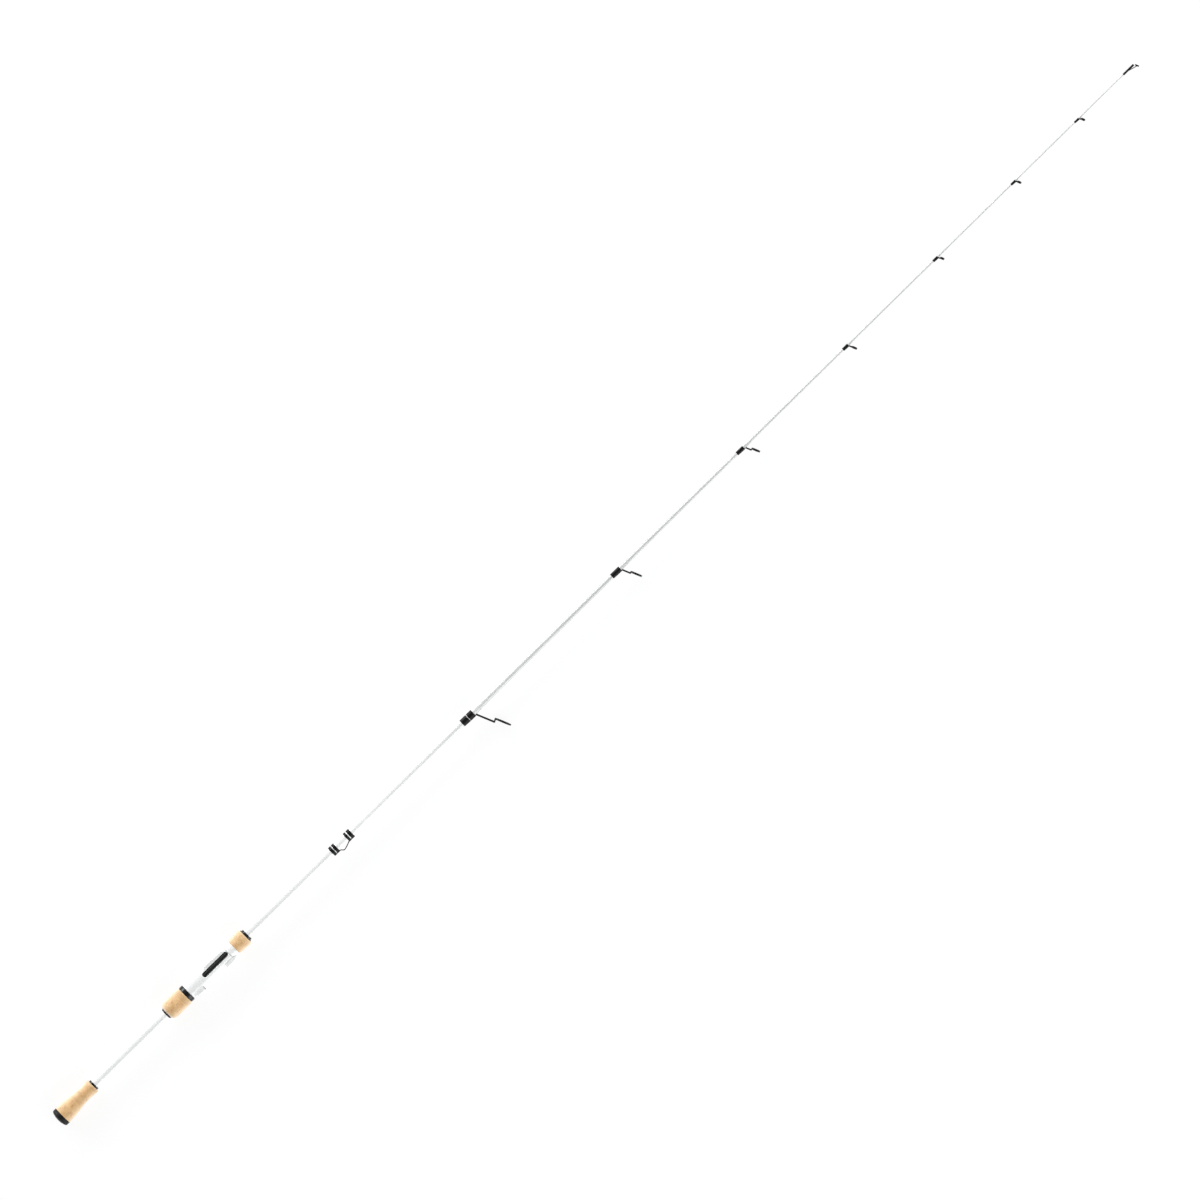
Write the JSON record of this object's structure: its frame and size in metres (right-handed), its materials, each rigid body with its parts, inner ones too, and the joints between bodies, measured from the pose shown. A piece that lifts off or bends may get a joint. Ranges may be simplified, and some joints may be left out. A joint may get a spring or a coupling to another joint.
{
  "type": "spinning fishing rod",
  "caption": "Long one-piece spinning rod with a white tapered blank, split cork grips, an open reel seat with a screw-down hood, and black ring guides.",
  "frame": {"origin": "middle of the flat land on the reel seat that the reel foot rests on", "axes": "+X along the rod from the butt to the tip, -Y out of the land, towards the reel and the guides, +Z square to both; the rod lies on its side"},
  "size_m": [1.9811, 0.0609, 0.0262],
  "materials": {
    "blank_gloss": "glossy white paint over a carbon fibre tube",
    "cap_rubber": "smooth matt black",
    "cork": "sanded natural cork",
    "trim_gloss": "polished black",
    "seat_gloss": "glossy white",
    "arbor": "matt",
    "liner": "matt black",
    "nut_plastic": "moulded black",
    "guide_metal": "black plated",
    "ring_ceramic": "polished black",
    "thread": "black thread under clear epoxy"
  },
  "bodies": {
    "rod": {"blank": "blank_gloss", "butt_cap": "cap_rubber", "butt_cork_1": "cork", "butt_cork_2": "cork", "butt_cork_3": "cork", "butt_cork_4": "cork", "butt_cork_5": "cork", "butt_trim": "trim_gloss", "rear_check": "trim_gloss", "rear_cork_1": "cork", "rear_cork_2": "cork", "rear_cork_3": "cork", "rear_trim": "trim_gloss", "reel_seat": "seat_gloss", "seat_arbor_rear": "arbor", "seat_arbor_front": "arbor", "fixed_hood_liner": "liner", "keeper_wire": "guide_metal", "keeper_wrap_rear": "thread", "keeper_wrap_front": "thread", "guide1_frame": "guide_metal", "guide1_ring": "ring_ceramic", "guide1_wrap": "thread", "guide2_frame": "guide_metal", "guide2_ring": "ring_ceramic", "guide2_wrap": "thread", "guide3_frame": "guide_metal", "guide3_ring": "ring_ceramic", "guide3_wrap": "thread", "guide4_frame": "guide_metal", "guide4_ring": "ring_ceramic", "guide4_wrap": "thread", "guide5_frame": "guide_metal", "guide5_ring": "ring_ceramic", "guide5_wrap": "thread", "guide6_frame": "guide_metal", "guide6_ring": "ring_ceramic", "guide6_wrap": "thread", "guide7_frame": "guide_metal", "guide7_ring": "ring_ceramic", "guide7_wrap": "thread", "guide1_trim": "thread", "tip_tube": "guide_metal", "tip_ring": "ring_ceramic"},
    "hood": {"sliding_hood": "seat_gloss", "sliding_hood_liner": "liner"},
    "nut": {"fore_nut": "nut_plastic", "fore_cork_1": "cork", "fore_cork_2": "cork", "fore_trim": "trim_gloss"}
  },
  "joints": [
    {"name": "hood_slide", "type": "slide", "parent": "rod", "child": "hood", "axis": [1, 0, 0], "range_m": [0, 0.012]},
    {"name": "nut_turn", "type": "hinge", "parent": "hood", "child": "nut", "pos_m": [0.0509, 0.0085, 0], "axis": [1, 0, 0], "range_deg": [0, 2160]}
  ],
  "couplings": [
    {"joint": "hood_slide", "follows": "nut_turn", "m_per_rad": 0.00031831}
  ]
}
